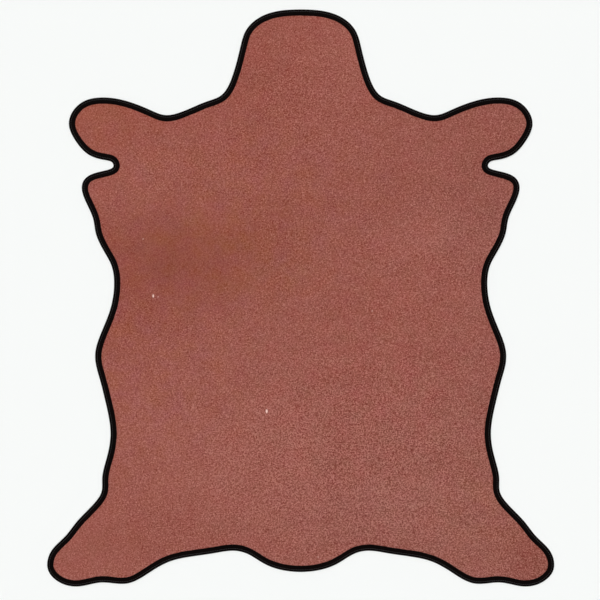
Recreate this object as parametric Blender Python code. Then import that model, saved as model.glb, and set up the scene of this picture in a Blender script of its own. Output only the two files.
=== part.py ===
"""A whole leather hide lying flat, grain side up, its edge bound all round with black leather.

The hide is one sheet with the outline of a dressed skin: neck at +Y, forelegs, a slit behind each
foreleg, hind legs and a short tail at -Y. Its two sides mirror each other about X = 0. A narrow strip
is folded over the cut edge, so the rim is thicker than the sheet: the sheet rests on the floor, and
rises a little over its last centimetres to run into the fold of the strip.

Metres, +Z up. The origin is on the floor under the middle of the outline.
"""

import math
from collections import namedtuple

import bmesh
import bpy
import numpy as np

# Driving dimensions.
HIDE_THICKNESS = 0.0020
BINDING_WIDTH = 0.0236  # how far the folded strip reaches in from the rim, on both faces
BINDING_THICKNESS = 0.0010
FOLD_GAP = 0.0003  # left between the strip and the sheet inside it
RISE_LENGTH = 0.018  # over which the sheet leaves the floor before it meets the strip

# How finely the outline is cut into straight facets.
LONGEST_FACET = 0.055
MOST_TURN = math.radians(15)

Landmark = namedtuple("Landmark", "place x_mm y_mm")

# The outer rim on the +X side, from the middle of the neck down to the middle of the tail.
HALF_OUTLINE = (
    Landmark("crown", 0, 1153),
    Landmark("crown side", 94, 1146),
    Landmark("brow", 168, 1119),
    Landmark("cheek", 218, 1070),
    Landmark("neck top", 244, 989),
    Landmark("neck low", 284, 857),
    Landmark("neck root", 323, 806),
    Landmark("shoulder", 389, 780),
    Landmark("shoulder dip", 524, 731),
    Landmark("foreleg root", 599, 750),
    Landmark("foreleg top", 700, 788),
    Landmark("foreleg brow", 796, 801),
    Landmark("foreleg nose", 880, 778),
    Landmark("foreleg tip", 926, 704),
    Landmark("foreleg underside", 900, 629),
    Landmark("foreleg heel", 847, 573),
    Landmark("slit upper lip", 787, 553),
    Landmark("slit bend", 757, 545),
    Landmark("slit end", 748, 531),
    Landmark("slit return", 757, 517),
    Landmark("elbow top", 846, 489),
    Landmark("elbow", 874, 431),
    Landmark("armpit", 832, 325),
    Landmark("chest", 818, 256),
    Landmark("chest low", 780, 176),
    Landmark("waist top", 750, 108),
    Landmark("waist low", 761, -46),
    Landmark("belly", 820, -214),
    Landmark("belly low", 804, -320),
    Landmark("flank top", 780, -415),
    Landmark("flank", 760, -532),
    Landmark("flank low", 773, -632),
    Landmark("thigh", 793, -720),
    Landmark("hock", 799, -784),
    Landmark("shin", 886, -885),
    Landmark("shin low", 940, -952),
    Landmark("ankle", 994, -1008),
    Landmark("hind tip", 1013, -1064),
    Landmark("hind toe", 1000, -1106),
    Landmark("sole", 951, -1143),
    Landmark("sole middle", 880, -1152),
    Landmark("sole inner", 794, -1137),
    Landmark("heel", 694, -1141),
    Landmark("inner leg", 600, -1094),
    Landmark("rump slope", 526, -1054),
    Landmark("rump low", 449, -1035),
    Landmark("rump", 354, -1021),
    Landmark("tail root", 270, -1010),
    Landmark("tail dip", 206, -1026),
    Landmark("tail side", 132, -1069),
    Landmark("tail", 0, -1095),
)


def outline_marks():
    """The whole rim's landmarks in metres, clockwise from the crown, the -X side mirrored."""
    right = np.array([(mark.x_mm, mark.y_mm) for mark in HALF_OUTLINE]) / 1000
    left = right[-2:0:-1] * (-1, 1)
    return np.concatenate([right, left])


def spline_slopes(marks):
    """(slope, span) at each landmark of the closed curve whose bend never jumps."""
    count = len(marks)
    spans = np.sqrt(np.linalg.norm(np.roll(marks, -1, axis=0) - marks, axis=1))
    matrix = np.zeros((count, count))
    target = np.zeros((count, 2))
    for i in range(count):
        before, after = spans[i - 1], spans[i]
        following = (i + 1) % count
        matrix[i, i - 1] = after
        matrix[i, i] = 2 * (before + after)
        matrix[i, following] = before
        arriving = (marks[i] - marks[i - 1]) / before
        leaving = (marks[following] - marks[i]) / after
        target[i] = 3 * (after * arriving + before * leaving)
    return np.linalg.solve(matrix, target), spans


def span_point(start, end, slope_in, slope_out, t):
    """(point, direction) at the share t of one cubic span. The slopes are times the span."""
    point = (
        (2 * t**3 - 3 * t**2 + 1) * start
        + (t**3 - 2 * t**2 + t) * slope_in
        + (3 * t**2 - 2 * t**3) * end
        + (t**3 - t**2) * slope_out
    )
    direction = (
        (6 * t**2 - 6 * t) * start
        + (3 * t**2 - 4 * t + 1) * slope_in
        + (6 * t - 6 * t**2) * end
        + (3 * t**2 - 2 * t) * slope_out
    )
    return point, direction / np.linalg.norm(direction)


def turn_between(first, second):
    """The angle between two directions."""
    return math.acos(max(-1.0, min(1.0, float(np.dot(first, second)))))


def facets_of_span(start, end, slope_in, slope_out):
    """How many straight facets one span needs, from its length and how far it turns."""
    walk = [span_point(start, end, slope_in, slope_out, t) for t in np.linspace(0, 1, 9)]
    length = sum(np.linalg.norm(b[0] - a[0]) for a, b in zip(walk, walk[1:]))
    turn = sum(turn_between(a[1], b[1]) for a, b in zip(walk, walk[1:]))
    return max(1, math.ceil(length / LONGEST_FACET), math.ceil(turn / MOST_TURN))


def rim_samples():
    """(points, inward normals) round the rim, closer together where it bends."""
    marks = outline_marks()
    slopes, spans = spline_slopes(marks)
    points, normals = [], []
    for i, start in enumerate(marks):
        following = (i + 1) % len(marks)
        span = (start, marks[following], slopes[i] * spans[i], slopes[following] * spans[i])
        facets = facets_of_span(*span)
        for step in range(facets):
            point, direction = span_point(*span, step / facets)
            points.append(point)
            normals.append((direction[1], -direction[0]))
    return np.array(points), np.array(normals)


def ring(mesh, rim, inset, height):
    """A closed row of vertices, parallel to the rim and set in from it."""
    points, normals = rim
    return [mesh.verts.new((x, y, height)) for x, y in points + normals * inset]


def band(mesh, first, second):
    """Quads between two rows of equal count."""
    count = len(first)
    for i in range(count):
        j = (i + 1) % count
        mesh.faces.new((first[i], first[j], second[j], second[i]))


def leather(name, colour, roughness):
    """A plain leather material."""
    material = bpy.data.materials.new(name)
    material.use_nodes = True
    shader = material.node_tree.nodes["Principled BSDF"]
    shader.inputs["Base Color"].default_value = (*colour, 1)
    shader.inputs["Roughness"].default_value = roughness
    shader.inputs["Metallic"].default_value = 0
    material.diffuse_color = (*colour, 1)
    return material


def add_object(name, mesh, material):
    """Makes a scene object of a finished bmesh, its faces turned outwards."""
    bmesh.ops.recalc_face_normals(mesh, faces=mesh.faces)
    data = bpy.data.meshes.new(name)
    mesh.to_mesh(data)
    mesh.free()
    data.materials.append(material)
    placed = bpy.data.objects.new(name, data)
    bpy.context.scene.collection.objects.link(placed)
    return placed


def build_hide(rim, material):
    """The sheet: flat on the floor, raised along its edge to run level inside the strip."""
    raised = BINDING_THICKNESS + FOLD_GAP
    floor_inset = BINDING_WIDTH + RISE_LENGTH
    # How far in from the rim, and how high there the flesh side is above the floor.
    section = ((raised, raised), (BINDING_WIDTH, raised), (floor_inset, 0))
    mesh = bmesh.new()
    flesh = [ring(mesh, rim, inset, height) for inset, height in section]
    grain = [ring(mesh, rim, inset, height + HIDE_THICKNESS) for inset, height in section]
    for side in (flesh, grain):
        for outer, inner in zip(side, side[1:]):
            band(mesh, outer, inner)
        mesh.faces.new(side[-1])
    band(mesh, flesh[0], grain[0])
    return add_object("hide", mesh, material)


def binding_section():
    """The folded strip's closed section, as (inset from the rim, height)."""
    height = 2 * (BINDING_THICKNESS + FOLD_GAP) + HIDE_THICKNESS
    radius = height / 2
    fold_steps = 6
    outside = [(BINDING_WIDTH, height)]
    for step in range(fold_steps + 1):
        angle = math.pi / 2 - math.pi * step / fold_steps
        outside.append((radius - radius * math.cos(angle), radius + radius * math.sin(angle)))
    outside.append((BINDING_WIDTH, 0))
    inside = [
        (BINDING_WIDTH, BINDING_THICKNESS),
        (BINDING_THICKNESS, BINDING_THICKNESS),
        (BINDING_THICKNESS, height - BINDING_THICKNESS),
        (BINDING_WIDTH, height - BINDING_THICKNESS),
    ]
    return outside + inside


def build_binding(rim, material):
    """The strip: one endless band of its folded section, carried round the rim."""
    mesh = bmesh.new()
    rows = [ring(mesh, rim, inset, height) for inset, height in binding_section()]
    for first, second in zip(rows, rows[1:] + rows[:1]):
        band(mesh, first, second)
    strip = add_object("edge_binding", mesh, material)
    strip.data.shade_smooth()
    strip.data.set_sharp_from_angle(angle=math.radians(40))
    return strip


def main():
    """Clears the scene and builds both pieces."""
    for old in list(bpy.data.objects):
        bpy.data.objects.remove(old)
    rim = rim_samples()
    build_hide(rim, leather("hide_leather", (0.314, 0.100, 0.076), 0.6))
    build_binding(rim, leather("binding_leather", (0.006, 0.006, 0.006), 0.5))


main()
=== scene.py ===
"""The looks of a whole leather hide that lies flat, grain side up, its cut edge bound with black leather.

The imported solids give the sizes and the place. The sheet of the hide, the strip folded round its edge and
the thread that sews them are modelled finely here, each with its own finish, and stand on a pale studio
floor, seen straight from above.

Metres, +Z up. The origin is on the floor under the middle of the outline, with the neck at +Y.
"""

import logging
import math
from collections.abc import Callable, Mapping, Sequence
from dataclasses import dataclass
from enum import Enum
from typing import Any, NamedTuple, Union

import bmesh
import bpy
import numpy as np
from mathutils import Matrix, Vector, noise
from mathutils.geometry import delaunay_2d_cdt
from mathutils.kdtree import KDTree


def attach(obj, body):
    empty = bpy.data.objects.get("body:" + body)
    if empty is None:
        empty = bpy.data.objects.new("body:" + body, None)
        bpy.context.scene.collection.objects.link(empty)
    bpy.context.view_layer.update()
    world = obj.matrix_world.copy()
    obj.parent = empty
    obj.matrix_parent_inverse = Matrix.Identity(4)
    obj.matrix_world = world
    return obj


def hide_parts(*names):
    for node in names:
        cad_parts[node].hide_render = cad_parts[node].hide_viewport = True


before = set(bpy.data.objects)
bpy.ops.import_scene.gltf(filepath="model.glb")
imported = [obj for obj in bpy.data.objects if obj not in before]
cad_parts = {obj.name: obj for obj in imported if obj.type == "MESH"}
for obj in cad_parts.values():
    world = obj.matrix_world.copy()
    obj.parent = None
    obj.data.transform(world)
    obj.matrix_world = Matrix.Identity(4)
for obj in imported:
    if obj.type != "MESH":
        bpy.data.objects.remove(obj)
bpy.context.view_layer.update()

log = logging.getLogger("hide")

ROOT_BODY = "root"
MM = 0.001

Colour = tuple[float, float, float]
Value = Union["Wire", bpy.types.ID, float, int, str, bool, Sequence[float]]
Key = Union[str, int]


# The outer rim on the +X side in millimetres, from the middle of the neck down to that of the tail.
HALF_OUTLINE = {
    "crown": (0, 1153),
    "crown side": (94, 1146),
    "brow": (168, 1119),
    "cheek": (218, 1070),
    "neck top": (244, 989),
    "neck low": (284, 857),
    "neck root": (323, 806),
    "shoulder": (389, 780),
    "shoulder dip": (524, 731),
    "foreleg root": (599, 750),
    "foreleg top": (700, 788),
    "foreleg brow": (796, 801),
    "foreleg nose": (880, 778),
    "foreleg tip": (926, 704),
    "foreleg underside": (900, 629),
    "foreleg heel": (847, 573),
    "slit upper lip": (787, 553),
    "slit bend": (757, 545),
    "slit end": (748, 531),
    "slit return": (757, 517),
    "elbow top": (846, 489),
    "elbow": (874, 431),
    "armpit": (832, 325),
    "chest": (818, 256),
    "chest low": (780, 176),
    "waist top": (750, 108),
    "waist low": (761, -46),
    "belly": (820, -214),
    "belly low": (804, -320),
    "flank top": (780, -415),
    "flank": (760, -532),
    "flank low": (773, -632),
    "thigh": (793, -720),
    "hock": (799, -784),
    "shin": (886, -885),
    "shin low": (940, -952),
    "ankle": (994, -1008),
    "hind tip": (1013, -1064),
    "hind toe": (1000, -1106),
    "sole": (951, -1143),
    "sole middle": (880, -1152),
    "sole inner": (794, -1137),
    "heel": (694, -1141),
    "inner leg": (600, -1094),
    "rump slope": (526, -1054),
    "rump low": (449, -1035),
    "rump": (354, -1021),
    "tail root": (270, -1010),
    "tail dip": (206, -1026),
    "tail side": (132, -1069),
    "tail": (0, -1095),
}


class Facing(Enum):
    """The two faces of the leather."""

    GRAIN = "grain"
    FLESH = "flesh"


# Wiring of node trees


class Noise(NamedTuple):
    """Soft noise: how large in metres, how ragged, how bent, and which part of it is read."""

    size: float
    detail: float = 2.0
    roughness: float = 0.5
    twist: float = 0.0
    x: float = 0.0
    y: float = 0.0


class Net(NamedTuple):
    """A net of lines between round cells: their size in metres, its sharpness, in a plane or in space."""

    size: float
    sharpness: float
    dimensions: str = "2D"


def operator(operation: str, reflected: bool = False) -> Callable[["Wire", Value], "Wire"]:
    """Makes the method of a wire that stands for one kind of sum.

    Args:
        operation: The maths node's operation.
        reflected: Whether the wire is the second of the two.

    Returns:
        The method. It adds a Vector Math node where either side is a vector.
    """

    def method(wire: "Wire", other: Value) -> "Wire":
        """Adds the maths node.

        Args:
            wire: The one side of the sum.
            other: The other side.

        Returns:
            The result.
        """
        sides = (other, wire) if reflected else (wire, other)
        vector = any(isinstance(side, Wire) and side.socket.type in ("VECTOR", "RGBA") for side in sides)
        kind = "ShaderNodeVectorMath" if vector else "ShaderNodeMath"
        return wire.board.node(kind, {"operation": operation}, dict(enumerate(sides)))

    return method


@dataclass(frozen=True)
class Wire:
    """An output socket that takes part in sums as a number or a vector does."""

    board: "Board"
    socket: bpy.types.NodeSocket

    __add__ = __radd__ = operator("ADD")
    __sub__ = operator("SUBTRACT")
    __rsub__ = operator("SUBTRACT", reflected=True)
    __mul__ = __rmul__ = operator("MULTIPLY")
    __truediv__ = operator("DIVIDE")
    __rtruediv__ = operator("DIVIDE", reflected=True)
    __pow__ = operator("POWER")
    __rpow__ = operator("POWER", reflected=True)
    lowest = operator("MINIMUM")
    highest = operator("MAXIMUM")
    __lt__ = operator("LESS_THAN")

    def held(self) -> "Wire":
        """The value, kept between 0 and 1."""
        return self.board.node("ShaderNodeClamp", {}, {"Value": self})

    def of(self, operation: str) -> "Wire":
        """A Math operation of one value, such as COSINE."""
        return self.board.node("ShaderNodeMath", {"operation": operation}, {0: self})

    def length(self) -> "Wire":
        """A vector's length."""
        settings = {"operation": "LENGTH"}
        return self.board.node("ShaderNodeVectorMath", settings, {0: self}, "Value")


class Board:
    """A node tree that is being wired."""

    def __init__(self, tree: bpy.types.NodeTree) -> None:
        """Takes an empty tree."""
        self.tree = tree

    @staticmethod
    def _find(sockets: Sequence[bpy.types.NodeSocket], key: Key) -> bpy.types.NodeSocket:
        """Finds a socket in use by its place, its identifier or its name.

        Args:
            sockets: The node's inputs or outputs.
            key: A place among them, an identifier or a name.

        Returns:
            The socket.
        """
        shown = [socket for socket in sockets if socket.enabled]
        if isinstance(key, int):
            return shown[key]
        known = [socket for socket in shown if socket.identifier == key]
        return (known + [socket for socket in shown if socket.name == key])[0]

    def _feed(self, socket: bpy.types.NodeSocket, value: Value) -> None:
        """Links a wire to a socket, or sets the socket's own value.

        Args:
            socket: The input.
            value: A wire, a number, a vector, a colour, a name or a material.
        """
        if isinstance(value, Wire):
            self.tree.links.new(value.socket, socket)
        elif socket.type == "RGBA":
            socket.default_value = (*value, 1)
        elif socket.type == "VECTOR" and isinstance(value, (int, float)):
            socket.default_value = (value, value, value)
        else:
            socket.default_value = value

    def node(
        self, kind: str, settings: Mapping[str, Any], inputs: Mapping[Key, Value], output: Key = 0
    ) -> Wire:
        """Adds a node.

        Args:
            kind: The node's type.
            settings: Its own properties, which are set first.
            inputs: Values or links by socket.
            output: Which output the wire comes from.

        Returns:
            The wire.
        """
        node = self.tree.nodes.new(kind)
        for name, value in settings.items():
            setattr(node, name, value)
        for key, value in inputs.items():
            self._feed(self._find(node.inputs, key), value)
        return Wire(self, self._find(node.outputs, output))

    def vector(self, x: Value, y: Value, z: Value) -> Wire:
        """A vector of three values."""
        return self.node("ShaderNodeCombineXYZ", {}, {"X": x, "Y": y, "Z": z})

    def part(self, vector: Wire, axis: str) -> Wire:
        """One component of a vector."""
        return self.node("ShaderNodeSeparateXYZ", {}, {"Vector": vector}, axis)

    def scaled(self, vector: Value, factor: Wire) -> Wire:
        """A vector or colour times a number."""
        inputs = {"Vector": vector, "Scale": factor}
        return self.node("ShaderNodeVectorMath", {"operation": "SCALE"}, inputs)

    def blend(self, share: Value, first: Value, second: Value) -> Wire:
        """The mix of two colours."""
        inputs = {"Factor_Float": share, "A_Color": first, "B_Color": second}
        return self.node("ShaderNodeMix", {"data_type": "RGBA"}, inputs, "Result_Color")

    def speckle(self, at: Wire, kind: Noise) -> Wire:
        """Soft noise.

        Args:
            at: Where it is read.
            kind: What it is like.

        Returns:
            From 0 to 1.
        """
        inputs = {
            "Vector": at + (kind.x, kind.y, 0),
            "Scale": 1 / kind.size,
            "Detail": kind.detail,
            "Roughness": kind.roughness,
            "Distortion": kind.twist,
        }
        return self.node("ShaderNodeTexNoise", {}, inputs, "Fac")

    def warped(self, at: Wire, size: float, amount: float) -> Wire:
        """A place pushed about by noise, so that what is read there isn't regular.

        Args:
            at: The place.
            size: The size of one swirl, in metres.
            amount: How far a point moves, in metres.

        Returns:
            The moved place.
        """
        inputs = {"Vector": at, "Scale": 1 / size, "Detail": 1.0}
        swirl = self.node("ShaderNodeTexNoise", {}, inputs, "Color")
        return at + (swirl - (0.5, 0.5, 0.5)) * (2 * amount)


class Surface(Board):
    """The node tree of a material with one Principled shader."""

    def __init__(self, name: str) -> None:
        """Makes the material.

        Args:
            name: Its name.
        """
        self.material = bpy.data.materials.new(name)
        self.material.use_nodes = True
        super().__init__(self.material.node_tree)
        self.shader = self.tree.nodes["Principled BSDF"]

    def object_place(self) -> Wire:
        """Where a point lies on the piece, in metres."""
        return self.node("ShaderNodeTexCoord", {}, {}, "Object")

    def own(self, name: str, output: str = "Fac") -> Wire:
        """What the piece's mesh carries at each point, as a number or a vector."""
        return self.node("ShaderNodeAttribute", {"attribute_name": name}, {}, output)

    def net(self, at: Wire, kind: Net) -> Wire:
        """A net of lines.

        Args:
            at: Where it is read.
            kind: What it is like.

        Returns:
            0 on a line and up to 1 inside a cell.
        """
        settings = {"voronoi_dimensions": kind.dimensions, "feature": "DISTANCE_TO_EDGE"}
        inputs = {"Vector": at, "Scale": 1 / kind.size}
        return (self.node("ShaderNodeTexVoronoi", settings, inputs, "Distance") * kind.sharpness).held()

    def relief(self, height: Wire, depth: float) -> Wire:
        """A normal that shows a height map.

        Args:
            height: The height, from 0 to 1.
            depth: What 1 stands for, in metres.

        Returns:
            The normal.
        """
        return self.node("ShaderNodeBump", {}, {"Strength": 1.0, "Distance": depth, "Height": height})

    def dress(self, inputs: Mapping[str, Value]) -> bpy.types.Material:
        """Sets or links the shader's sockets.

        Args:
            inputs: Values or wires by socket name.

        Returns:
            The material.
        """
        for name, value in inputs.items():
            self._feed(self.shader.inputs[name], value)
        return self.material


class ShapeTree(Board):
    """A Geometry Nodes tree with named inputs, run once to make a plain mesh."""

    def __init__(self, name: str, sizes: Mapping[str, Union[float, int]]) -> None:
        """Makes the tree and its sockets.

        Args:
            name: The tree's name.
            sizes: The named inputs and their values.
        """
        super().__init__(bpy.data.node_groups.new(name, "GeometryNodeTree"))
        self.sizes = dict(sizes)
        face = self.tree.interface
        face.new_socket("Rim", in_out="INPUT", socket_type="NodeSocketGeometry")
        kinds = {int: "NodeSocketInt", float: "NodeSocketFloat"}
        for label, value in sizes.items():
            face.new_socket(label, in_out="INPUT", socket_type=kinds[type(value)])
        face.new_socket("Piece", in_out="OUTPUT", socket_type="NodeSocketGeometry")
        self.inlet = self.tree.nodes.new("NodeGroupInput")

    def given(self, label: str) -> Wire:
        """One of the tree's inputs."""
        return Wire(self, self.inlet.outputs[label])

    def read(self, name: str, kind: str = "FLOAT") -> Wire:
        """A value that the mesh carries."""
        return self.node("GeometryNodeInputNamedAttribute", {"data_type": kind}, {"Name": name})

    def keep_place(self, shape: Wire, name: str) -> Wire:
        """The shape, each point of which carries where it lies now under a name."""
        inputs = {"Geometry": shape, "Name": name, "Value": self.here()}
        return self.node("GeometryNodeStoreNamedAttribute", {"data_type": "FLOAT_VECTOR"}, inputs)

    def placed(self, shape: Wire, at: Wire) -> Wire:
        """The shape with each point moved to a place."""
        return self.node("GeometryNodeSetPosition", {}, {"Geometry": shape, "Position": at})

    def here(self) -> Wire:
        """Where a point lies."""
        return self.node("GeometryNodeInputPosition", {}, {})

    def make(
        self, name: str, shape: Wire, material: bpy.types.Material, base: bpy.types.Mesh
    ) -> bpy.types.Object:
        """Ends the tree and runs it on a mesh.

        Args:
            name: The name of the piece.
            shape: The geometry that the tree makes.
            material: What it is made of.
            base: The mesh that it starts from.

        Returns:
            The piece, a plain closed mesh that faces outwards.
        """
        real = self.node("GeometryNodeRealizeInstances", {}, {"Geometry": shape})
        done = self.node("GeometryNodeSetMaterial", {}, {"Geometry": real, "Material": material})
        outlet = self.tree.nodes.new("NodeGroupOutput")
        self.tree.links.new(done.socket, outlet.inputs[0])
        maker = add_object("maker", base)
        modifier = maker.modifiers.new("shape", "NODES")
        modifier.node_group = self.tree
        for item in self.tree.interface.items_tree:
            if item.name in self.sizes:
                modifier[item.identifier] = self.sizes[item.name]
        graph = bpy.context.evaluated_depsgraph_get()
        mesh = bpy.data.meshes.new_from_object(maker.evaluated_get(graph))
        maker.modifiers.remove(modifier)
        bpy.data.objects.remove(maker)
        mesh.name = name
        shell = bmesh.new()
        shell.from_mesh(mesh)
        bmesh.ops.recalc_face_normals(shell, faces=shell.faces)
        shell.to_mesh(mesh)
        shell.free()
        mesh.shade_smooth()
        return add_object(name, mesh)


def add_object(name: str, data: bpy.types.ID) -> bpy.types.Object:
    """Puts a mesh, a light or a camera into the scene at the origin, unturned.

    Args:
        name: The object's name.
        data: What it shows.

    Returns:
        The object.
    """
    placed = bpy.data.objects.new(name, data)
    bpy.context.scene.collection.objects.link(placed)
    return placed


def edge_loop(name: str, points: np.ndarray, carried: Mapping[str, np.ndarray]) -> bpy.types.Mesh:
    """A closed loop of edges on the floor.

    Args:
        name: The mesh's name.
        points: Its points.
        carried: A number or a flat direction for each point, by name.

    Returns:
        The mesh.
    """
    count = len(points)
    level = np.zeros((count, 1))
    mesh = bpy.data.meshes.new(name)
    edges = [(i, (i + 1) % count) for i in range(count)]
    mesh.from_pydata(np.hstack([points, level]).tolist(), edges, [])
    for label, values in carried.items():
        kind, field = "FLOAT", "value"
        if values.ndim == 2:
            kind, field = "FLOAT_VECTOR", "vector"
            values = np.hstack([values, level])
        data = mesh.attributes.new(label, kind, "POINT").data
        data.foreach_set(field, values.astype(np.float32).ravel())
    return mesh


def settle(value: np.ndarray, start: float, end: float) -> np.ndarray:
    """A smooth step from 0 at the start to 1 at the end."""
    share = np.clip((value - start) / (end - start), 0, 1)
    return share * share * (3 - 2 * share)


class Wave(NamedTuple):
    """Smooth noise of one size: how large, which one and how strong."""

    size: float
    seed: float
    share: float


def waves(points: np.ndarray, kinds: Sequence[Wave]) -> np.ndarray:
    """The sum of smooth noises, each about -1 to 1 times its share.

    Args:
        points: Places in a plane, in metres.
        kinds: The noises.

    Returns:
        One value for each point.
    """
    return sum(
        np.array([noise.noise(Vector((x / kind.size, y / kind.size, kind.seed))) for x, y in points])
        * kind.share
        for kind in kinds
    )


def gaps(row: np.ndarray) -> np.ndarray:
    """How far each point of a closed row is from the next."""
    return np.linalg.norm(np.roll(row, -1, axis=0) - row, axis=1)


# The rim that every piece follows

# What a cubic span takes of its start, its slope there, its end and its slope there, by falling powers.
SPAN_SHARES = ((2, -3, 0, 1), (1, -2, 1, 0), (-2, 3, 0, 0), (1, -1, 0, 0))


@dataclass(frozen=True)
class Walk:
    """Steps along the rim, clockwise from the crown: places, ways in, and how sharply it bends."""

    points: np.ndarray
    inward: np.ndarray
    bend: np.ndarray

    def at(self, inset: float) -> np.ndarray:
        """The row of points that lies so far in from the rim."""
        return self.points + self.inward * inset


@dataclass(frozen=True)
class Rim:
    """The outer edge of the hide: a closed curve through the landmarks, its two sides alike."""

    steps_per_span: int = 80
    depth_step: float = 0.003

    def marks(self) -> np.ndarray:
        """The landmarks in metres, clockwise, with the -X side mirrored."""
        right = np.array(list(HALF_OUTLINE.values())) * MM
        return np.concatenate([right, right[-2:0:-1] * (-1, 1)])

    def slopes(self, marks: np.ndarray, spans: np.ndarray) -> np.ndarray:
        """The slopes of the closed curve whose bend never jumps.

        Args:
            marks: The landmarks.
            spans: How much of the curve's parameter lies after each.

        Returns:
            The slope at each landmark.
        """
        before = np.roll(spans, 1)
        leaving = (np.roll(marks, -1, axis=0) - marks) / spans[:, None]
        arriving = np.roll(leaving, 1, axis=0)
        target = 3 * (spans[:, None] * arriving + before[:, None] * leaving)
        here = np.arange(len(marks))
        matrix = np.diag(2 * (before + spans))
        matrix[here, here - 1] = spans
        matrix[here, np.roll(here, -1)] = before
        return np.linalg.solve(matrix, target)

    def traced(self) -> Walk:
        """Follows the curve in very fine steps.

        Returns:
            The steps, which aren't yet even.
        """
        marks = self.marks()
        spans = np.sqrt(gaps(marks))
        slopes = self.slopes(marks, spans)
        # All spans at once, with the curve's first and second derivatives.
        t = np.arange(self.steps_per_span)[:, None] / self.steps_per_span
        onward = np.roll(marks, -1, axis=0)
        leaving, arriving = slopes * spans[:, None], np.roll(slopes, -1, axis=0) * spans[:, None]
        parts = list(zip(SPAN_SHARES, (marks, leaving, onward, arriving)))
        point, way, turn = (
            sum(np.polyval(np.polyder(shares, order), t) * part[:, None] for shares, part in parts)
            for order in range(3)
        )
        point, way, turn = (values.reshape(-1, 2) for values in (point, way, turn))
        speed = np.linalg.norm(way, axis=1)
        # Clockwise, so a bulge of the outline turns to the right.
        bend = (way[:, 1] * turn[:, 0] - way[:, 0] * turn[:, 1]) / speed**3
        inward = np.stack([way[:, 1], -way[:, 0]], axis=1) / speed[:, None]
        return Walk(point, inward, bend)

    def reach(self, inset: float) -> float:
        """The length of the row that lies so far in from the rim."""
        return float(gaps(self.traced().at(inset)).sum())

    def walk(self, count: int, inset: float) -> Walk:
        """Steps that are even where they cross a row parallel to the rim.

        Args:
            count: How many.
            inset: How far in from the rim that row lies.

        Returns:
            The steps, on the rim itself.
        """
        fine = self.traced()
        place = np.concatenate([[0], np.cumsum(gaps(fine.at(inset)))])
        wanted = np.arange(count) / count * place[-1]
        table = np.column_stack([fine.points, fine.inward, fine.bend])
        closed = np.vstack([table, table[:1]])
        even = np.column_stack([np.interp(wanted, place, column) for column in closed.T])
        points, inward, bend = even[:, :2], even[:, 2:4], even[:, 4]
        return Walk(points, inward / np.linalg.norm(inward, axis=1)[:, None], bend)

    def depths(self, points: np.ndarray) -> np.ndarray:
        """How far in from the rim each point lies, less than 0 outside it.

        Args:
            points: The places.

        Returns:
            One depth for each.
        """
        edge = self.walk(round(self.reach(0) / self.depth_step), 0)
        tree = KDTree(len(edge.points))
        for i, (x, y) in enumerate(edge.points):
            tree.insert((x, y, 0), i)
        tree.balance()
        nearest = np.array([tree.find((x, y, 0))[1] for x, y in points])
        return ((points - edge.points[nearest]) * edge.inward[nearest]).sum(axis=1)


# The sheet


class Tint(Enum):
    """What a soft mark does to the leather: its tone, its hue, its grain or how far its hue wanders."""

    SHADE = "shade"
    PALE = "pale"
    WARM = "warm"
    DULL = "dull"
    CALM = "calm"
    COARSE = "coarse"
    RUDDY = "ruddy"
    TAWNY = "tawny"


class Spot(NamedTuple):
    """A soft mark on the grain side, an oval in metres that fades to nothing at its edge."""

    place: str
    x: float
    y: float
    across: float
    along: float
    strength: float


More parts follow.
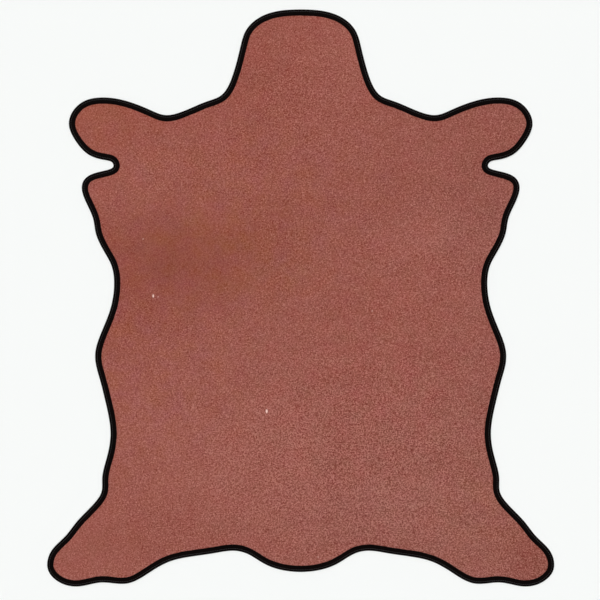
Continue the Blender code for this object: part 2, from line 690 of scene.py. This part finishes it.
# Where the grain side differs from its even look, seen from above with the neck at the top.
SPOTS = {
    Tint.SHADE: (
        Spot("left waist", -0.56, 0.14, 0.66, 0.36, 0.24),
        Spot("left ribs", -0.1, 0.27, 0.32, 0.24, 0.075),
        Spot("left belly", -0.64, -0.14, 0.28, 0.2, 0.06),
        Spot("neck", -0.14, 0.8, 0.22, 0.42, 0.055),
        Spot("withers", 0.02, 0.42, 0.22, 0.2, 0.045),
        Spot("left foreleg", -0.64, 0.73, 0.26, 0.2, 0.05),
        Spot("right shoulder", 0.34, 0.43, 0.26, 0.2, 0.065),
        Spot("right elbow", 0.64, 0.43, 0.2, 0.2, 0.05),
        Spot("right foreleg", 0.84, 0.55, 0.25, 0.35, 0.065),
        Spot("navel", 0.18, -0.05, 0.2, 0.2, 0.045),
        Spot("right flank", 0.8, -0.37, 0.2, 0.4, 0.09),
        Spot("left hock", -0.56, -0.98, 0.5, 0.28, 0.075),
        Spot("right of the tail", 0.32, -1.01, 0.15, 0.12, 0.13),
        Spot("right toe", 0.96, -1.04, 0.26, 0.24, 0.225),
    ),
    Tint.PALE: (
        Spot("crown", 0.18, 0.98, 0.18, 0.32, 0.1),
        Spot("left shoulder", -0.64, 0.43, 0.28, 0.2, 0.065),
        Spot("right chest", 0.48, 0.27, 0.24, 0.2, 0.105),
        Spot("loin", 0, -0.53, 0.34, 0.26, 0.07),
        Spot("left loin", -0.34, -0.6, 0.5, 0.34, 0.085),
        Spot("left rump", -0.2, -0.77, 0.3, 0.22, 0.055),
        Spot("left flank", -0.66, -0.5, 0.22, 0.24, 0.05),
        Spot("right loin", 0.46, -0.5, 0.28, 0.22, 0.05),
        Spot("right rump", 0.38, -0.85, 0.36, 0.22, 0.1),
        Spot("tail root", 0.02, -0.74, 0.22, 0.32, 0.05),
        Spot("middle low", -0.1, -0.25, 0.6, 0.16, 0.035),
    ),
    Tint.WARM: (
        Spot("left side", -0.28, 0.23, 0.5, 0.42, 1),
        Spot("left forefoot", -0.8, 0.7, 0.26, 0.22, 0.7),
        Spot("middle", -0.04, 0.08, 0.2, 0.17, 0.7),
        Spot("right foot", 0.76, -0.84, 0.4, 0.36, 0.6),
    ),
    Tint.DULL: (
        Spot("left chest", -0.62, 0.34, 0.34, 0.5, 0.34),
        Spot("right elbow", 0.68, 0.32, 0.24, 0.3, 0.34),
        Spot("rump", 0.26, -0.86, 0.48, 0.24, 0.4),
        Spot("right side", 0.4, -0.1, 0.52, 0.52, -0.5),
        Spot("right toe", 0.96, -1.04, 0.34, 0.26, -0.6),
    ),
    Tint.CALM: (
        Spot("left waist", -0.48, 0.16, 0.5, 0.34, 0.47),
        Spot("left toe", -0.84, -1.02, 0.34, 0.3, 0.28),
    ),
    Tint.COARSE: (
        Spot("neck", 0, 0.78, 0.5, 0.46, 0.22),
        Spot("left shoulder", -0.46, 0.52, 0.4, 0.26, 0.18),
        Spot("right chest", 0.5, 0.24, 0.4, 0.4, 0.07),
        Spot("belly", 0.26, -0.66, 0.75, 0.62, 0.6),
        Spot("left loin", -0.25, -0.62, 0.4, 0.34, 0.16),
    ),
    Tint.RUDDY: (
        Spot("left low", -0.66, -0.45, 0.55, 0.8, -0.65),
        Spot("withers", 0.12, 0.52, 0.34, 0.5, -0.5),
        Spot("right loin", 0.28, -0.42, 0.7, 0.6, 0.65),
    ),
    Tint.TAWNY: (
        Spot("left chest", -0.28, 0.36, 0.95, 0.66, 1.05),
        Spot("left flank", -0.66, -0.3, 0.62, 0.62, 1.45),
        Spot("right toe", 0.96, -1.04, 0.34, 0.26, -0.42),
    ),
}

# Small pale flecks in the finish.
FLECKS = (
    Spot("left waist fleck", -0.5895, 0.008, 0.005, 0.01, 1.3),
    Spot("left waist dot", -0.57, 0.005, 0.0035, 0.005, 0.45),
    Spot("belly fleck", -0.136, -0.453, 0.0055, 0.0115, 1.6),
    Spot("left chest fleck", -0.63, 0.236, 0.005, 0.005, 0.4),
    Spot("right waist fleck", 0.286, -0.052, 0.005, 0.005, 0.4),
    Spot("tail fleck", 0.07, -1.036, 0.005, 0.005, 0.4),
)


class Layer(NamedTuple):
    """One layer of the grain: its middle value, and what it adds to the tone, as painted shade or painted
    highlight beside the grain's own tone, and to the height.
    """

    middle: float
    tone: float
    height: float


@dataclass(frozen=True)
class GrainLeather:
    """The finished grain side: waxed brown-red leather with a rounded, uneven grain."""

    ground: Colour = (0.2800, 0.0740, 0.0515)
    # How far the colour moves with the level: the grain's own tone and marks, and the painted shade of its
    # creases and painted highlight of its tops.
    swing: Colour = (0.180, 0.096, 0.081)
    dulled: Colour = (-0.017, 0.003, 0.005)
    warmed: Colour = (0.0, 0.0015, -0.0055)
    mottled: Colour = (-0.037, 0.012, 0.0)
    cooled: Colour = (0.0, 0.0, 0.030)
    fleck: Colour = (0.82, 0.57, 0.50)
    darkest: float = -0.62
    palest: float = 0.85
    pebble: Net = Net(0.0042, 4.5)
    fold: Net = Net(0.021, 14.0)
    crack: Net = Net(0.0014, 4.0)
    wrinkle: Noise = Noise(0.0046, 0.4, 0.5, 0.7)
    wrinkle_share: float = 0.61
    pore: Noise = Noise(0.0009, 2.0, 0.6)
    lit_domes: Layer = Layer(0.64, 0.35, 0.24)
    shaded_folds: Layer = Layer(0.88, 0.13, 0.20)
    shaded_cracks: Layer = Layer(0.62, 0.20, 0.08)
    pores: Layer = Layer(0.50, 0.16, 0.04)
    broad: Noise = Noise(0.11, 1.0, 0.5, x=3.1, y=1.7)
    red: Noise = Noise(0.085, 2.0, 0.55, x=7.7, y=2.9)
    brown: Noise = Noise(0.085, 2.0, 0.55, x=1.3, y=5.6)
    warm: Noise = Noise(0.085, 1.0, 0.5, x=4.4, y=8.3)
    relief: float = 0.0010
    roughness: float = 0.58

    def mark(self, board: Surface, at: Wire, spot: Spot) -> Wire:
        """How strong one soft mark is at each point.

        Args:
            board: The material.
            at: Where it is read.
            spot: The mark.

        Returns:
            From 0 outside it to its strength in the middle.
        """
        away = ((at - (spot.x, spot.y, 0)) * (1 / spot.across, 1 / spot.along, 1)).length()
        settings = {"interpolation_type": "SMOOTHSTEP"}
        inputs = {"Value": away, "From Min": 0.0, "From Max": 1.0, "To Min": spot.strength, "To Max": 0.0}
        return board.node("ShaderNodeMapRange", settings, inputs)

    def marks(self, board: Surface, at: Wire, tint: Tint) -> Wire:
        """The sum of the soft marks of one kind."""
        chosen = [self.mark(board, at, spot) for spot in SPOTS[tint]]
        return sum(chosen[1:], chosen[0])

    def material(self) -> bpy.types.Material:
        """Builds the finish.

        Returns:
            The material.
        """
        board = Surface("hide_grain")
        place = board.object_place() * (1, 1, 0)
        skin = board.warped(place, 0.03, 0.004)
        wrinkles = board.speckle(skin, self.wrinkle)
        skin = board.warped(skin, 0.0040, 0.0006)
        # Each pebble has one tone all over, which is read at its middle.
        cell = {"Vector": skin, "Scale": 1 / self.pebble.size}
        middle = board.node("ShaderNodeTexVoronoi", {"voronoi_dimensions": "2D"}, cell, "Position")
        tone = board.speckle(middle, self.wrinkle)
        dome = board.net(skin, self.pebble)
        pores = board.speckle(place, self.pore)
        # The tops of the pebbles are painted lighter, a painted highlight, and the lines between them, the
        # folds and the cracks darker, painted shade in the creases, beside the grain's own tone; each layer
        # also gives the bump its height.
        layers = (
            (dome, self.lit_domes),
            (board.net(skin + (2.7, 3.9, 0), self.fold), self.shaded_folds),
            (board.net(board.warped(place, 0.003, 0.0004), self.crack), self.shaded_cracks),
            (pores, self.pores),
        )
        ripple = wrinkles * self.wrinkle_share + tone * (1 - self.wrinkle_share) - 0.5
        # The squared term lifts the palest bits further: painted glints on the grain.
        grain = ripple * (ripple * 2.4 + 3.05)
        height = wrinkles * 0.25 + tone * 0.16
        for value, layer in layers:
            grain = grain + (value - layer.middle) * layer.tone
            height = height + value * layer.height

        marks = {tint: self.marks(board, place, tint) for tint in Tint}
        across, along = board.part(place, "X"), board.part(place, "Y")
        broad = board.speckle(place, self.broad) - 0.5
        grain = grain * (across * 0.16 - along * 0.13 + marks[Tint.COARSE] - marks[Tint.CALM] + 0.95)
        level = grain + broad * (marks[Tint.COARSE] * 0.22 + 0.27) - along * 0.044
        level = level - marks[Tint.SHADE] + marks[Tint.PALE]
        level = level.highest(self.darkest).lowest(self.palest)
        patchy = ((board.speckle(place, self.warm) - 0.44) * 7).held()
        shifts = (
            (self.dulled, across * 0.75 - along * 0.5 + marks[Tint.DULL]),
            (self.warmed, marks[Tint.WARM] * (patchy * 1.1 + 0.35)),
            (self.mottled, (board.speckle(place, self.red) - 0.5) * (marks[Tint.RUDDY] + 0.95)),
            (self.cooled, (board.speckle(place, self.brown) - 0.5) * (marks[Tint.TAWNY] + 0.42)),
        )
        colour = board.scaled(self.swing, level) + self.ground
        for shift, amount in shifts:
            colour = colour + board.scaled(shift, amount)
        for spot in FLECKS:
            colour = board.blend(self.mark(board, place, spot).held(), colour, self.fleck)
        rough = self.roughness + (0.72 - dome) * 0.10 + (pores - 0.5) * 0.12 + broad * 0.10
        return board.dress({
            "Base Color": colour,
            "Roughness": rough.held(),
            "Specular IOR Level": 0.32,
            "Normal": board.relief(height.held(), self.relief),
        })


@dataclass(frozen=True)
class FleshSide:
    """The raw side underneath: pale brown suede with a short nap."""

    ground: Colour = (0.22, 0.105, 0.066)
    nap_tip: Colour = (0.34, 0.19, 0.13)
    nap: Noise = Noise(0.0012, 3.0, 0.65)
    brushed: Noise = Noise(0.09, 3.0, 0.5)
    relief: float = 0.00025

    def material(self) -> bpy.types.Material:
        """Builds the finish.

        Returns:
            The material.
        """
        board = Surface("hide_flesh")
        place = board.object_place()
        nap = board.speckle(board.warped(place, 0.01, 0.002), self.nap)
        brushed = board.speckle(place, self.brushed)
        colour = board.blend((nap * 0.7 + brushed * 0.3).held(), self.ground, self.nap_tip)
        return board.dress({
            "Base Color": colour,
            "Roughness": (0.85 + (nap - 0.5) * 0.2).held(),
            "Specular IOR Level": 0.2,
            "Sheen Weight": 0.3,
            "Sheen Roughness": 0.5,
            "Normal": board.relief(nap, self.relief),
        })


@dataclass(frozen=True)
class HidePanel:
    """The sheet of leather, a closed shell whose edge runs inside the folded strip."""

    rim: Rim
    flat_size: tuple[float, float] = (2.026, 2.305)
    thickness: float = 0.0020
    raised: float = 0.0013
    binding_reach: float = 0.0236
    floor_reach: float = 0.0416
    columns: int = 1030
    even_at: float = 0.025
    grain_rows_mm: tuple[float, ...] = (1.3, 12, 21, 25, 28.5, 32, 35.5, 39, 43)
    flesh_rows_mm: tuple[float, ...] = (1.3, 23.6, 33, 42)
    grain_mesh: float = 0.0076
    flesh_mesh: float = 0.018
    mesh_margin: float = 0.02
    clear_of_rows: float = 0.6
    swell: float = 0.00016
    swells: tuple[Wave, ...] = (Wave(0.21, 4.0, 1.2), Wave(0.07, 9.0, 1.0), Wave(0.028, 2.0, 0.7))

    def lattice(self, pitch: float, inset: float) -> np.ndarray:
        """Points in staggered rows that fill what lies inside a row.

        Args:
            pitch: How far apart they are.
            inset: How far in from the rim that row lies.

        Returns:
            The points.
        """
        reach = np.array(self.flat_size) / 2 + self.mesh_margin
        columns = np.arange(-reach[0], reach[0], pitch)
        rows = np.arange(-reach[1], reach[1], pitch * math.sqrt(3) / 2)
        across, along = np.meshgrid(columns, rows)
        across[1::2] += pitch / 2
        points = np.column_stack([across.ravel(), along.ravel()])
        return points[self.rim.depths(points) > inset + pitch * self.clear_of_rows]

    def face(
        self, walk: Walk, rows_mm: Sequence[float], pitch: float
    ) -> tuple[np.ndarray, np.ndarray, list[tuple[int, ...]]]:
        """One face of the sheet, flat: rows along the rim, then a filled middle.

        Args:
            walk: The columns that the rows share.
            rows_mm: How far in each row lies.
            pitch: How far apart the points of the middle are.

        Returns:
            The points, how far in each lies, and the faces, which look up.
        """
        count = len(walk.points)
        rows = [walk.at(row * MM) for row in rows_mm]
        last = (len(rows) - 1) * count
        faces = []
        for outer in range(0, last, count):
            inner = outer + count
            for i in range(count):
                j = (i + 1) % count
                faces.append((inner + i, inner + j, outer + j, outer + i))
        middle = self.lattice(pitch, rows_mm[-1] * MM)
        flat = [Vector(point) for point in np.concatenate([rows[-1], middle])]
        # The ring is given anticlockwise, as the filler wants an outer edge.
        ring = list(reversed(range(count)))
        made, _, triangles, origin, _, inside = delaunay_2d_cdt(flat, [], [ring], 1, 1e-7, True)
        source = [ids[0] + last for ids in origin]
        for (a, b, c), owner in zip(triangles, inside):
            if owner:
                turn = (made[b] - made[a]).cross(made[c] - made[a])
                faces.append(tuple(source[i] for i in ((a, b, c) if turn > 0 else (a, c, b))))
        depth = np.concatenate([np.repeat(np.array(rows_mm) * MM, count), self.rim.depths(middle)])
        return np.concatenate(rows + [middle]), depth, faces

    def lift(self, depth: np.ndarray) -> np.ndarray:
        """How high the sheet rises off the floor towards its edge."""
        return self.raised * (1 - settle(depth, self.binding_reach, self.floor_reach))

    def uneven(self, points: np.ndarray, depth: np.ndarray) -> np.ndarray:
        """The soft unevenness of the grain side, nothing inside the strip."""
        return waves(points, self.swells) * self.swell * settle(depth, self.binding_reach, self.floor_reach)

    def build(self) -> bpy.types.Object:
        """Builds and dresses the sheet.

        Returns:
            The piece.
        """
        walk = self.rim.walk(self.columns, self.even_at)
        top, top_depth, top_faces = self.face(walk, self.grain_rows_mm, self.grain_mesh)
        low, low_depth, low_faces = self.face(walk, self.flesh_rows_mm, self.flesh_mesh)
        top_z = self.lift(top_depth) + self.thickness + self.uneven(top, top_depth)
        low_z = self.lift(low_depth)
        shift = len(top)
        points = np.concatenate([np.column_stack([top, top_z]), np.column_stack([low, low_z])])
        under = [tuple(i + shift for i in reversed(face)) for face in low_faces]
        wall = []
        for i in range(self.columns):
            j = (i + 1) % self.columns
            wall.append((j, shift + j, shift + i, i))
        mesh = bpy.data.meshes.new("hide_panel")
        mesh.from_pydata(points.tolist(), [], top_faces + under + wall)
        mesh.materials.append(GrainLeather().material())
        mesh.materials.append(FleshSide().material())
        slots = np.repeat([0, 1], [len(top_faces), len(under) + len(wall)])
        mesh.polygons.foreach_set("material_index", slots.astype(np.int32))
        mesh.shade_smooth()
        mesh.set_sharp_from_angle(angle=math.radians(50))
        mesh.validate()
        return add_object("hide_panel", mesh)


# The strip folded over the edge, and the thread that holds it


@dataclass(frozen=True)
class BindingLeather:
    """Black leather, dyed through, with a fine grain and a dull wax finish."""

    ground: Colour = (0.0017, 0.0003, 0.0001)
    # Paler for wear at the lip and for a painted highlight along the fold.
    worn_and_highlit: Colour = (0.0030, 0.0014, 0.0012)
    grain: Net = Net(0.0011, 3.0, "3D")
    broad: Noise = Noise(0.03, 3.0, 0.6)
    relief: float = 0.00012
    roughness: float = 0.56
    fold_reach: float = 0.004
    lip_from: float = 0.0215
    lip_width: float = 0.002

    def material(self) -> bpy.types.Material:
        """Builds the finish.

        Returns:
            The material.
        """
        board = Surface("binding_finish")
        place = board.object_place()
        dome = board.net(board.warped(place, 0.004, 0.0006), self.grain)
        broad = board.speckle(place, self.broad) - 0.5
        inset = board.own("inset")
        # The cut lip is rubbed a little paler; the rolled fold is paler too, a painted highlight along its
        # roll as well as wear.
        fold = (1.0 - inset * (1 / self.fold_reach)).held()
        lip = ((inset - self.lip_from) * (1 / self.lip_width)).held()
        wear_and_highlight = (fold * 0.55 + lip * 0.45 + broad * 0.8 + (dome - 0.6) * 0.25).held()
        colour = board.blend(wear_and_highlight, self.ground, self.worn_and_highlit)
        rough = self.roughness + (0.6 - dome) * 0.12 - fold * 0.08 + broad * 0.15
        return board.dress({
            "Base Color": colour,
            "Roughness": rough.held(),
            "Specular IOR Level": 0.03,
            "Normal": board.relief(dome, self.relief),
        })


@dataclass(frozen=True)
class WaxedThread:
    """Thick charcoal thread, waxed and twisted."""

    ground: Colour = (0.024, 0.0225, 0.0225)
    strand: Colour = (0.054, 0.054, 0.057)
    turn: float = 0.0016
    fuzz: Noise = Noise(0.0006, 2.0, 0.6)
    relief: float = 0.00012

    def material(self) -> bpy.types.Material:
        """Builds the finish.

        Returns:
            The material.
        """
        board = Surface("waxed_thread")
        lay = board.own("lay", "Vector")
        twist = (board.part(lay, "X") + board.part(lay, "Y")) * (2 * math.pi / self.turn)
        strand = (twist.of("SINE") * 0.5 + 0.5).held()
        fuzz = board.speckle(board.object_place(), self.fuzz)
        colour = board.blend((strand * 0.7 + fuzz * 0.3).held(), self.ground, self.strand)
        return board.dress({
            "Base Color": colour,
            "Roughness": (0.62 - strand * 0.12).held(),
            "Specular IOR Level": 0.3,
            "Normal": board.relief(strand, self.relief),
        })


@dataclass(frozen=True)
class Seam:
    """The line of stitches that runs round the strip, and the columns that share its rhythm."""

    rim: Rim
    inset: float = 0.0080
    pitch: float = 0.0090
    columns_per_stitch: int = 4
    pleat_pitch: float = 0.0105
    pleats_from: float = 4.5
    pleats_full: float = 14.0
    drift: tuple[Wave, ...] = (Wave(0.05, 11.0, 2.5),)
    waver: tuple[Wave, ...] = (Wave(0.04, 5.0, 1.0), Wave(0.013, 6.0, 0.5))

    def stitches(self) -> int:
        """How many stitches go once round."""
        return round(self.rim.reach(self.inset) / self.pitch)

    def base(self) -> bpy.types.Mesh:
        """The rim as a closed loop of edges, with what the pieces on it need at each point.

        Returns:
            The mesh. Each point has "inward", "phase" within its stitch, "pleat" and "waver".
        """
        count = self.stitches() * self.columns_per_stitch
        walk = self.rim.walk(count, self.inset)
        order = np.arange(count)
        turns = order * (self.pitch / self.columns_per_stitch) / self.pleat_pitch
        ripple = np.sin(2 * math.pi * turns + waves(walk.points, self.drift))
        carried = {
            "phase": (order % self.columns_per_stitch) / self.columns_per_stitch,
            "pleat": settle(walk.bend, self.pleats_from, self.pleats_full) * (0.5 + 0.5 * ripple),
            "waver": waves(walk.points, self.waver),
            "inward": walk.inward,
        }
        return edge_loop("rim", walk.points, carried)


@dataclass(frozen=True)
class EdgeBinding:
    """The strip: one endless band, folded over the hide's edge and sewn through."""

    seam: Seam
    width: float = 0.0248
    height: float = 0.0046
    leather: float = 0.0010
    valley: float = 0.0004
    valley_side: float = 0.0017
    puff: float = 0.0006
    pucker: float = 0.00025
    pucker_reach: float = 0.004
    pleat: float = 0.0006
    waver: float = 0.0007

    def section(self) -> list[tuple[float, float]]:
        """The closed outline of the folded strip, pulled in along the stitch line.

        Returns:
            (how far in from the rim, how high) for each corner, in metres.
        """
        reach, top, thick = self.width, self.height, self.leather
        row, side, radius = self.seam.inset, self.valley_side, self.height / 2
        # The cut lip and the flat, then the valley of the stitches, each with how far below the top it is.
        lip = ((0, thick + 0.0001), (0.0002, 0.0006), (0.0012, 0.0003), (0.0056, 0), (0.0116, 0))
        valley = ((1, 0.0001), (0, self.valley), (-1, 0.0001), (-2.6, 0))
        upper = [(reach - back, top - below) for back, below in lip]
        upper += [(row + share * side, top - below) for share, below in valley]
        turns = [math.radians(90 + 36 * k) for k in range(1, 5)]
        out = radius + self.puff
        fold = [(radius + out * math.cos(turn), radius + radius * math.sin(turn)) for turn in turns]
        valley = ((-2.6, 0), (-1, 0), (0, self.valley), (1, 0))
        lower = [(row + share * side, height) for share, height in valley]
        lower += [(reach - 0.0012, 0), (reach, 0.0004)]
        inside = [(reach - 0.0003, thick + 0.0002), (radius, thick), (thick, radius), (radius, top - thick)]
        return upper + fold + lower + inside

    def section_object(self) -> bpy.types.Object:
        """Makes the section as a closed loop of edges.

        Returns:
            The loop. Each point has its "inset" and "height".
        """
        corners = np.array(self.section())
        carried = dict(zip(("inset", "height"), corners.T))
        return add_object("section", edge_loop("section", corners, carried))

    def build(self) -> bpy.types.Object:
        """Builds and dresses the strip.

        Returns:
            The piece.
        """
        section = self.section_object()
        sizes = {size: getattr(self, size) for size in ("width", "height", "pucker", "pleat", "waver")}
        tree = ShapeTree("folded_strip", {"row": self.seam.inset, **sizes})
        path = tree.node("GeometryNodeMeshToCurve", {}, {"Mesh": tree.given("Rim")})
        path = tree.keep_place(path, "edge")
        held = tree.node("GeometryNodeObjectInfo", {}, {"Object": section}, "Geometry")
        profile = tree.node("GeometryNodeMeshToCurve", {}, {"Mesh": held})
        band = tree.node("GeometryNodeCurveToMesh", {}, {"Curve": path, "Profile Curve": profile})
        inset, height = tree.read("inset"), tree.read("height")
        share = inset / tree.given("width")
        upper = (height / tree.given("height")).held()
        # Each hole pulls the leather down beside it.
        away = (inset - tree.given("row")) * (1 / self.pucker_reach)
        near_row = (1 - away.of("ABSOLUTE")).held()
        hole = ((tree.read("phase") * (2 * math.pi)).of("COSINE") * -0.5 + 0.5) * near_row
        fall = hole * tree.given("pucker") * (upper - 0.5) * 2
        rise = tree.read("pleat") * tree.given("pleat") * share * upper
        slide = tree.read("waver") * tree.given("waver") * share * share
        across = tree.read("inward", "FLOAT_VECTOR") * (inset + slide)
        up = tree.vector(0, 0, height - fall + rise)
        band = tree.placed(band, tree.read("edge", "FLOAT_VECTOR") + across + up)
        strip = tree.make("binding_strip", band, BindingLeather().material(), self.seam.base())
        bpy.data.objects.remove(section)
        return strip


@dataclass(frozen=True)
class StitchRow:
    """One row of stitches on one face of the strip.

    How far a stitch stands out and is drawn in are shares of the thread's radius.
    """

    facing: Facing
    binding: EdgeBinding
    thread: float = 0.0012
    gap: float = 0.0014
    proud: float = 0.55
    drawn_in: float = 1.2
    squeeze: float = 0.5
    drawn_up: float = 0.4
    floor_gap: float = 0.00004
    swing: float = 0.05
    sides: int = 6
    bends: int = 6
    seed: int = 7

    def sizes(self) -> dict[str, Union[float, int]]:
        """The inputs of the row's tree.

        Returns:
            Their values by name.
        """
        binding, seam = self.binding, self.binding.seam
        on_top = self.facing is Facing.GRAIN
        flat = 1.0 if on_top else self.squeeze
        bed = binding.height - binding.valley if on_top else binding.valley
        radius = self.thread / 2
        crest = bed + radius * self.proud if on_top else radius * flat + self.floor_gap
        sunk = bed - radius * self.drawn_in if on_top else bed + radius * self.drawn_up
        return {
            "Row": seam.inset,
            "Half length": (seam.pitch - self.gap) / 2,
            # A flattened stitch is squeezed towards the floor, its height with it.
            "Sunk": sunk / flat,
            # The middle handle of the arc lies twice as far off as its crest.
            "Handle": (2 * crest - sunk) / flat,
            "Radius": radius,
            "Flatness": flat,
            "Sides": self.sides,
            "Bends": self.bends,
            "Seed": self.seed,
        }

    def stitch(self, tree: ShapeTree) -> Wire:
        """Wires one stitch, an arc of thread along X that dips into a hole at each end.

        Args:
            tree: The row's tree.

        Returns:
            The stitch, each point of which has its "lay".
        """
        half, sunk = tree.given("Half length"), tree.given("Sunk")
        start, end = (tree.vector(half * way, 0, sunk) for way in (-1, 1))
        middle = tree.vector(0, 0, tree.given("Handle"))
        arc = {"Resolution": tree.given("Bends"), "Start": start, "Middle": middle, "End": end}
        ring = {"Resolution": tree.given("Sides"), "Radius": tree.given("Radius")}
        tube = {
            "Curve": tree.node("GeometryNodeCurveQuadraticBezier", {}, arc),
            "Profile Curve": tree.node("GeometryNodeCurvePrimitiveCircle", {}, ring, "Curve"),
            "Fill Caps": True,
        }
        return tree.keep_place(tree.node("GeometryNodeCurveToMesh", {}, tube), "lay")

    def build(self) -> bpy.types.Object:
        """Builds and dresses the row.

        Returns:
            The piece.
        """
        name = f"stitches_{self.facing.value}"
        tree = ShapeTree(name, self.sizes())
        path = tree.node("GeometryNodeMeshToCurve", {}, {"Mesh": tree.given("Rim")})
        path = tree.placed(path, tree.here() + tree.read("inward", "FLOAT_VECTOR") * tree.given("Row"))
        tangent = tree.node("GeometryNodeInputTangent", {}, {})
        turn = tree.node("FunctionNodeAlignRotationToVector", {"axis": "X"}, {"Vector": tangent})
        limits = {"Min_001": -self.swing, "Max_001": self.swing, "Seed": tree.given("Seed")}
        swing = tree.node("FunctionNodeRandomValue", {"data_type": "FLOAT"}, limits, "Value_001")
        lean = tree.node("FunctionNodeAxisAngleToRotation", {}, {"Axis": (0.0, 0.0, 1.0), "Angle": swing})
        spin = tree.node("FunctionNodeRotateRotation", {"rotation_space": "LOCAL"}, {0: turn, 1: lean})
        sew = {
            "Points": path,
            # The first column of each stitch's share of the rim.
            "Selection": tree.read("phase") < 0.1,
            "Instance": self.stitch(tree),
            "Rotation": spin,
            "Scale": tree.vector(1, 1, tree.given("Flatness")),
        }
        row = tree.node("GeometryNodeInstanceOnPoints", {}, sew)
        return tree.make(name, row, WaxedThread().material(), self.binding.seam.base())


# The studio


class Sun(NamedTuple):
    """A broad, far light."""

    name: str
    height_deg: float
    compass_deg: float
    strength: float
    spread_deg: float
    colour: Colour


@dataclass(frozen=True)
class Studio:
    """A plain pale floor, an even pale sky and a few broad lights."""

    floor_size: float = 140.0
    floor_gap: float = 0.0002
    floor_colour: Colour = (0.876, 0.892, 0.884)
    zenith: Colour = (0.24, 0.24, 0.24)
    low_sky: Colour = (0.50, 0.503, 0.50)
    horizon: Colour = (0.93, 0.945, 0.94)
    horizon_height: float = 0.14
    lens: float = 85.0
    sensor: float = 36.0
    view_width: float = 2.4
    aim: tuple[float, float] = (-0.0028, -0.0082)
    suns: tuple[Sun, ...] = (
        Sun("key", 56, 135, 1.65, 18, (1.0, 0.99, 0.98)),
        Sun("fill", 64, -40, 0.80, 30, (0.98, 0.99, 1.0)),
        Sun("side", 64, 40, 0.45, 30, (1.0, 1.0, 1.0)),
    )

    def build_floor(self) -> bpy.types.Object:
        """Builds the floor, a hair below the hide.

        Returns:
            The floor.
        """
        half = self.floor_size / 2
        square = ((-half, -half), (half, -half), (half, half), (-half, half))
        mesh = bpy.data.meshes.new("floor")
        mesh.from_pydata([(x, y, -self.floor_gap) for x, y in square], [], [(0, 1, 2, 3)])
        finish = Surface("floor_paint")
        paint = {"Base Color": self.floor_colour, "Roughness": 0.9, "Specular IOR Level": 0.0}
        mesh.materials.append(finish.dress(paint))
        return add_object("floor", mesh)

    def light(self) -> None:
        """Lights the scene."""
        world = bpy.data.worlds.new("studio")
        bpy.context.scene.world = world
        world.use_nodes = True
        board = Board(world.node_tree)
        ray = board.node("ShaderNodeTexCoord", {}, {}, "Generated")
        up = board.part(ray, "Z").held()
        sky = board.blend(up**0.4, self.low_sky, self.zenith)
        sky = board.blend((up * (1 / self.horizon_height)).held(), self.horizon, sky)
        board.tree.links.new(sky.socket, world.node_tree.nodes["Background"].inputs["Color"])
        for sun in self.suns:
            data = bpy.data.lights.new(sun.name, "SUN")
            data.energy = sun.strength
            data.angle = math.radians(sun.spread_deg)
            data.color = sun.colour
            tilt = math.radians(90 - sun.height_deg)
            add_object(sun.name, data).rotation_euler = (0, tilt, math.radians(sun.compass_deg))

    def shoot(self) -> None:
        """Sets the camera straight above, so that the frame spans the wanted width."""
        data = bpy.data.cameras.new("camera")
        data.lens = self.lens
        data.sensor_width = self.sensor
        data.clip_end = 1000
        camera = add_object("camera", data)
        camera.location = (*self.aim, self.view_width * self.lens / self.sensor)
        bpy.context.scene.camera = camera
        bpy.context.scene.view_settings.view_transform = "Standard"


def place_on_body(piece: bpy.types.Object, slot: str, *nodes: str) -> None:
    """Attaches a piece to the root body and hides the solids that it stands for.

    Args:
        piece: The piece.
        slot: The name of its finish slot, which is only logged.
        nodes: The solids that it stands for.
    """
    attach(piece, ROOT_BODY)
    if nodes:
        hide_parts(*nodes)
    faces = sum(len(face.vertices) - 2 for face in piece.data.polygons)
    log.info("%s: %d triangles, slot %s", piece.name, faces, slot)


def main() -> None:
    """Builds the hide and its studio, piece by piece."""
    logging.basicConfig(level=logging.INFO, format="%(name)s: %(message)s")
    rim = Rim()
    seam = Seam(rim)
    log.info("rim: %.3f m round, %d stitches", rim.reach(0), seam.stitches())
    panel = HidePanel(rim)
    hide = panel.build()
    place_on_body(hide, "hide_leather", "hide")
    binding = EdgeBinding(seam)
    strip = binding.build()
    place_on_body(strip, "binding_leather", "edge_binding")
    rows = [StitchRow(facing, binding).build() for facing in Facing]
    for row in rows:
        place_on_body(row, "stitching_thread")
    studio = Studio()
    floor = studio.build_floor()
    studio.light()
    studio.shoot()


if __name__ == "__main__":
    main()
